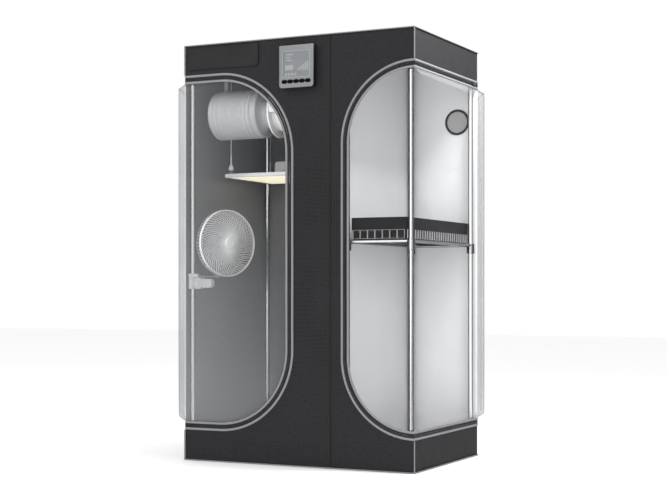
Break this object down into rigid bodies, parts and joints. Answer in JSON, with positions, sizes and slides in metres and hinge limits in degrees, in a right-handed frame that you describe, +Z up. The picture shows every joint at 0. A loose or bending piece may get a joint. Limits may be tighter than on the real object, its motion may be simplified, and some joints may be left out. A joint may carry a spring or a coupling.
{
  "type": "grow tent",
  "caption": "Upright cloth grow tent on a pole frame, with clear corner doors, a lit plant chamber with fan and filter, and a narrow chamber with a tray shelf.",
  "frame": {"origin": "centre of the tent footprint on the underside of the floor sheet", "axes": "+X to the viewer's right along the front, -Y out of the front, +Z up"},
  "size_m": [0.9758, 0.6407, 1.524],
  "materials": {
    "black_cloth": "matt ripstop grid weave",
    "silver_lining": "soft metallised sheen",
    "silver_steel": "satin",
    "clear_film": "clear, glossy",
    "grey_zip": "woven tape with piping",
    "black_plastic": "fine satin grain",
    "button_plastic": "satin",
    "pale_plastic": "satin",
    "dark_glass": "glossy",
    "vent_mesh": "open mesh",
    "filter_sleeve": "brushed fleece over mesh",
    "webbing": "woven",
    "lamp_frame": "satin",
    "lamp_panel": "diffusing lens",
    "tray_plastic": "semi gloss moulding"
  },
  "bodies": {
    "tent": {"pole_front_left": "silver_steel", "pole_back_left": "silver_steel", "pole_front_divider": "silver_steel", "pole_back_divider": "silver_steel", "pole_front_right": "silver_steel", "pole_back_right": "silver_steel", "roof_frame": "silver_steel", "floor_frame": "silver_steel", "hanger_bar_front": "silver_steel", "hanger_bar_middle": "silver_steel", "hanger_bar_back": "silver_steel", "roof_panel": "black_cloth", "floor_panel": "black_cloth", "front_panel": "black_cloth", "back_panel": "black_cloth", "left_side_panel": "black_cloth", "right_header_band": "black_cloth", "right_footer_band": "black_cloth", "duct_sleeve": "black_cloth", "divider_wall": "silver_lining", "left_zip_track": "grey_zip", "right_zip_track": "grey_zip", "controller_back": "black_plastic", "header_plate": "black_plastic", "back_vent": "vent_mesh", "controller_front": "pale_plastic", "duct_fan_housing": "pale_plastic", "duct_fan_control_box": "pale_plastic", "clip_fan_clamp": "pale_plastic", "controller_screen": "dark_glass", "carbon_filter": "filter_sleeve", "filter_strap_left": "webbing", "filter_strap_right": "webbing", "hanger_rope_front_left": "webbing", "hanger_rope_back_left": "webbing", "hanger_rope_front_right": "webbing", "hanger_rope_back_right": "webbing"},
    "left_door": {"left_door_film": "clear_film", "left_door_zip_tape": "grey_zip"},
    "right_door": {"right_door_film": "clear_film", "right_door_zip_tape": "grey_zip"},
    "left_slider": {"left_zip_slider": "black_plastic"},
    "right_slider": {"right_zip_slider": "black_plastic"},
    "button_1": {"controller_button_1": "button_plastic"},
    "button_2": {"controller_button_2": "button_plastic"},
    "button_3": {"controller_button_3": "button_plastic"},
    "button_4": {"controller_button_4": "button_plastic"},
    "button_5": {"controller_button_5": "button_plastic"},
    "duct_fan_wheel": {"duct_fan_impeller": "black_plastic"},
    "fan_neck": {"clip_fan_neck": "pale_plastic"},
    "fan_head": {"clip_fan_front_grille": "pale_plastic", "clip_fan_rear_grille": "pale_plastic", "clip_fan_motor": "pale_plastic"},
    "fan_wheel": {"clip_fan_impeller": "pale_plastic"},
    "fan_jaw": {"clip_fan_jaw": "pale_plastic"},
    "light": {"light_frame": "lamp_frame", "light_board": "lamp_panel", "light_driver": "pale_plastic"},
    "shelf": {"shelf_frame": "silver_steel"},
    "tray": {"shelf_tray": "tray_plastic"}
  },
  "joints": [
    {"name": "left_door_swing", "type": "hinge", "parent": "tent", "child": "left_door", "pos_m": [-0.457, 0.305, 0], "axis": [0, 0, -1], "range_deg": [0, 110]},
    {"name": "right_door_swing", "type": "hinge", "parent": "tent", "child": "right_door", "pos_m": [0.457, 0.305, 0], "axis": [0, 0, 1], "range_deg": [0, 110]},
    {"name": "left_zip_run", "type": "slide", "parent": "left_door", "child": "left_slider", "axis": [0, -1, 0], "range_m": [0, 0.52]},
    {"name": "right_zip_run", "type": "slide", "parent": "right_door", "child": "right_slider", "axis": [0, -1, 0], "range_m": [0, 0.52]},
    {"name": "button_1_press", "type": "slide", "parent": "tent", "child": "button_1", "axis": [0, 1, 0], "range_m": [0, 0.0012], "stiffness_N_per_m": 400, "springref_m": -0.0002},
    {"name": "button_2_press", "type": "slide", "parent": "tent", "child": "button_2", "axis": [0, 1, 0], "range_m": [0, 0.0012], "stiffness_N_per_m": 400, "springref_m": -0.0002},
    {"name": "button_3_press", "type": "slide", "parent": "tent", "child": "button_3", "axis": [0, 1, 0], "range_m": [0, 0.0012], "stiffness_N_per_m": 400, "springref_m": -0.0002},
    {"name": "button_4_press", "type": "slide", "parent": "tent", "child": "button_4", "axis": [0, 1, 0], "range_m": [0, 0.0012], "stiffness_N_per_m": 400, "springref_m": -0.0002},
    {"name": "button_5_press", "type": "slide", "parent": "tent", "child": "button_5", "axis": [0, 1, 0], "range_m": [0, 0.0012], "stiffness_N_per_m": 400, "springref_m": -0.0002},
    {"name": "duct_fan_spin", "type": "hinge", "parent": "tent", "child": "duct_fan_wheel", "pos_m": [-0.072, -0.17, 1.275], "axis": [1, 0, 0], "continuous": true},
    {"name": "clip_fan_pan", "type": "hinge", "parent": "tent", "child": "fan_neck", "pos_m": [-0.42166, -0.14523, 0.6786], "axis": [0, 0, 1], "range_deg": [0, 45]},
    {"name": "clip_fan_tilt", "type": "hinge", "parent": "fan_neck", "child": "fan_head", "pos_m": [-0.42166, -0.14523, 0.746], "axis": [0.4027, 0.9153, 0], "range_deg": [-10, 12]},
    {"name": "clip_fan_spin", "type": "hinge", "parent": "fan_head", "child": "fan_wheel", "pos_m": [-0.37696, -0.1649, 0.8], "axis": [0.9153, -0.4027, 0], "continuous": true},
    {"name": "clip_fan_jaw_open", "type": "hinge", "parent": "tent", "child": "fan_jaw", "pos_m": [-0.4155, -0.285, 0.65], "axis": [0, 0, -1], "range_deg": [0, 8], "stiffness_Nm_per_rad": 0.6, "springref_deg": -2.86},
    {"name": "light_height", "type": "slide", "parent": "tent", "child": "light", "axis": [0, 0, 1], "range_m": [-0.1, 0.1], "deforming": ["hanger_rope_front_left", "hanger_rope_back_left", "hanger_rope_front_right", "hanger_rope_back_right"]},
    {"name": "shelf_height", "type": "slide", "parent": "tent", "child": "shelf", "axis": [0, 0, 1], "range_m": [-0.35, 0.25]},
    {"name": "tray_lift", "type": "slide", "parent": "shelf", "child": "tray", "axis": [0, 0, 1], "range_m": [0, 0.3]}
  ]
}
